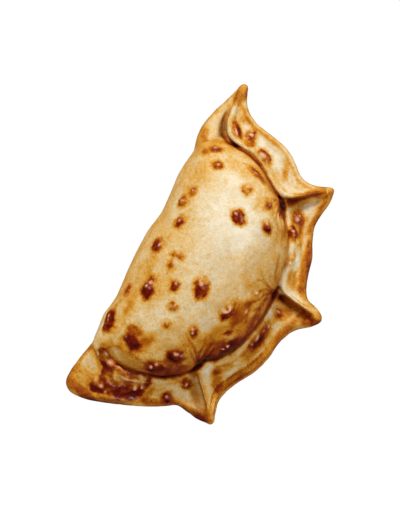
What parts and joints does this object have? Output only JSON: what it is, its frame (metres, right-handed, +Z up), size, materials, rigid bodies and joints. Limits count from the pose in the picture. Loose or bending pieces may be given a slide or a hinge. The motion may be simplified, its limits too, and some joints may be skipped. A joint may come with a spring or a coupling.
{
  "type": "empanada",
  "caption": "Baked turnover of blistered golden dough: a stuffed half-round belly with its rim folded back over itself in broad straight flaps that meet in pinched points.",
  "frame": {"origin": "on the surface it rests on, under the centre of the bounding box", "axes": "+X along the straight folded side towards the long sharp corner, +Y towards that straight side, +Z up"},
  "size_m": [0.1654, 0.0944, 0.038],
  "materials": {
    "baked_dough": "oven-baked wheat dough, cream to golden with a thin egg-washed sheen, glossy brown blisters and dark caramelised folds"
  },
  "bodies": {
    "root": {"empanada": "baked_dough"}
  },
  "joints": []
}
